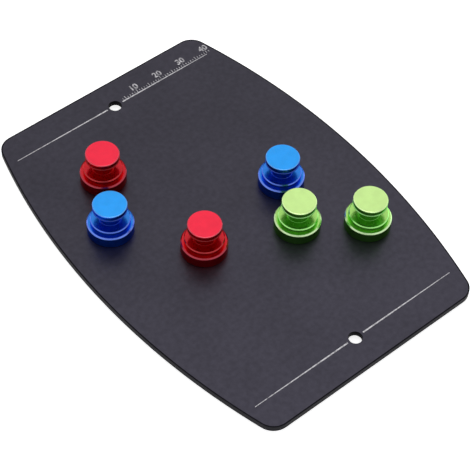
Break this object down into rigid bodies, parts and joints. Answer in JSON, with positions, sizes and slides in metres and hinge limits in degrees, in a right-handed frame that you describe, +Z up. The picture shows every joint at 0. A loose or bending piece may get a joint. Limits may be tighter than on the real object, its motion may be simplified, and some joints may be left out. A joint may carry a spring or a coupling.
{
  "type": "magnetic pcb holder",
  "caption": "Black coated steel plate with bulging sides, end holes and rubber feet, carrying loose turned magnetic posts whose grooves grip the edge of flat work.",
  "frame": {"origin": "on the bench, under the centre of the plate", "axes": "+Z up, +Y along the plate towards the end that is far in the picture, +X across the plate"},
  "size_m": [0.102, 0.14, 0.0158],
  "materials": {
    "coated_steel": "satin black powder coat",
    "white_print": "thin white paint in the coating",
    "red_anodised": "bright anodised, turned",
    "blue_anodised": "bright anodised, turned",
    "green_anodised": "bright anodised, turned",
    "nickel": "nickel plating",
    "rubber": "matt black"
  },
  "bodies": {
    "plate": {"plate": "coated_steel", "far_line": "white_print", "near_line": "white_print", "foot_far_left": "rubber", "foot_far_right": "rubber", "foot_near_left": "rubber", "foot_near_right": "rubber"},
    "red_back": {"red_back_post": "red_anodised", "red_back_magnet": "nickel"},
    "blue_front": {"blue_front_post": "blue_anodised", "blue_front_magnet": "nickel"},
    "red_front": {"red_front_post": "red_anodised", "red_front_magnet": "nickel"},
    "blue_back": {"blue_back_post": "blue_anodised", "blue_back_magnet": "nickel"},
    "green_mid": {"green_mid_post": "green_anodised", "green_mid_magnet": "nickel"},
    "green_right": {"green_right_post": "green_anodised", "green_right_magnet": "nickel"}
  },
  "joints": [
    {"name": "red_back_slide", "type": "slide", "parent": "plate", "child": "red_back", "axis": [-0.6293, 0.7771, 0], "range_m": [-0.003, 0.017]},
    {"name": "blue_front_slide", "type": "slide", "parent": "plate", "child": "blue_front", "axis": [-0.7771, -0.6293, 0], "range_m": [-0.003, 0.01]},
    {"name": "red_front_slide", "type": "slide", "parent": "plate", "child": "red_front", "axis": [-0.7771, -0.6293, 0], "range_m": [-0.018, 0.032]},
    {"name": "blue_back_slide", "type": "slide", "parent": "plate", "child": "blue_back", "axis": [0.7771, 0.6293, 0], "range_m": [-0.0015, 0.023]},
    {"name": "green_mid_slide", "type": "slide", "parent": "plate", "child": "green_mid", "axis": [-0.7771, -0.6293, 0], "range_m": [-0.0015, 0.045]},
    {"name": "green_right_slide", "type": "slide", "parent": "plate", "child": "green_right", "axis": [0.6293, -0.7771, 0], "range_m": [-0.005, 0.01]}
  ]
}
